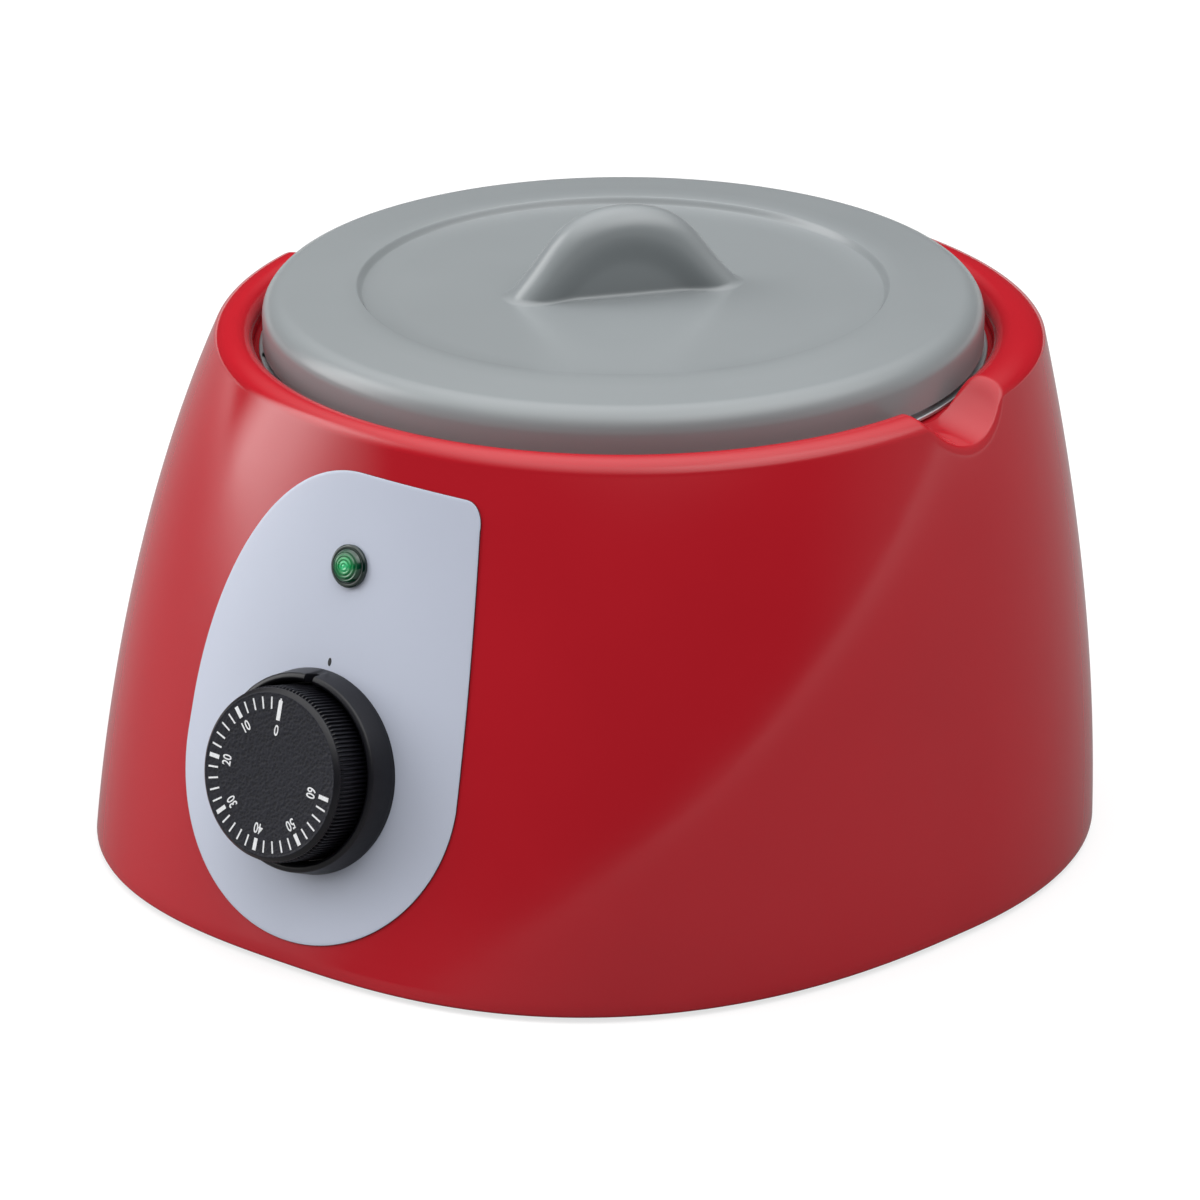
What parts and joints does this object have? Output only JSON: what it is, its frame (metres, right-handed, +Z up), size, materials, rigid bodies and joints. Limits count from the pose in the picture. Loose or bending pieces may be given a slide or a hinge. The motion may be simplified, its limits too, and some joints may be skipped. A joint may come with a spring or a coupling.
{
  "type": "chocolate tempering machine",
  "caption": "Table-top chocolate melter: moulded casing round a heated well, lift-out pan, domed lid with a fin handle, thermostat knob and pilot lamp on the sloping front.",
  "frame": {"origin": "on the table under the middle of the overall box, half way between the knob's face and the end of the cord entry", "axes": "+Z up, +Y from the knob towards the cord entry at the back, +X to the right seen from the front"},
  "size_m": [0.2822, 0.3092, 0.1849],
  "materials": {
    "casing_red": "glossy moulded",
    "label_film": "satin film",
    "lid_grey": "satin moulded",
    "pan_steel": "polished",
    "well_aluminium": "spun",
    "steel_fastener": "plated",
    "band_steel": "plain",
    "insulation_wool": "mineral wool",
    "copper_bulb": "plain",
    "phenolic_brown": "moulded",
    "phenolic_black": "moulded",
    "brass_blade": "plain",
    "knob_black": "textured",
    "lamp_green": "clear tinted",
    "nylon_black": "moulded",
    "base_steel": "zinc plated",
    "foot_rubber": "matt",
    "nylon_white": "moulded"
  },
  "bodies": {
    "base": {"casing": "casing_red", "front_label": "label_film", "heating_well": "well_aluminium", "well_screws": "steel_fastener", "stud_nuts": "steel_fastener", "heater_band": "band_steel", "band_screw": "steel_fastener", "band_nut": "steel_fastener", "insulation_wrap": "insulation_wool", "sensor_bulb": "copper_bulb", "bulb_clip": "band_steel", "thermal_cutout": "phenolic_brown", "thermostat_body": "phenolic_black", "thermostat_plate": "band_steel", "thermostat_terminals": "brass_blade", "thermostat_screws": "steel_fastener", "capillary_tube": "copper_bulb", "knob_bezel": "knob_black", "pilot_lamp_lens": "lamp_green", "pilot_lamp_body": "phenolic_black", "pilot_lamp_nut": "nylon_black", "base_plate": "base_steel", "base_screws": "steel_fastener", "rubber_feet": "foot_rubber", "foot_screws": "steel_fastener", "foot_nuts": "steel_fastener", "terminal_block": "nylon_white", "terminal_screws": "brass_blade", "terminal_fixings": "steel_fastener", "earth_stud": "brass_blade", "earth_nuts": "brass_blade", "cable_gland": "nylon_black", "gland_cap": "nylon_black", "gland_nut": "nylon_black"},
    "pan": {"melting_pan": "pan_steel"},
    "lid": {"lid": "lid_grey"},
    "dial": {"knob": "knob_black", "knob_spring": "steel_fastener", "thermostat_shaft": "steel_fastener"}
  },
  "joints": [
    {"name": "pan_lift", "type": "slide", "parent": "base", "child": "pan", "axis": [0, 0, 1], "range_m": [0, 0.12]},
    {"name": "lid_lift", "type": "slide", "parent": "pan", "child": "lid", "axis": [0, 0, 1], "range_m": [0, 0.1]},
    {"name": "knob_turn", "type": "hinge", "parent": "base", "child": "dial", "pos_m": [0, -0.12976, 0.0554], "axis": [0, 0.9636, -0.2672], "range_deg": [0, 265.5]}
  ]
}
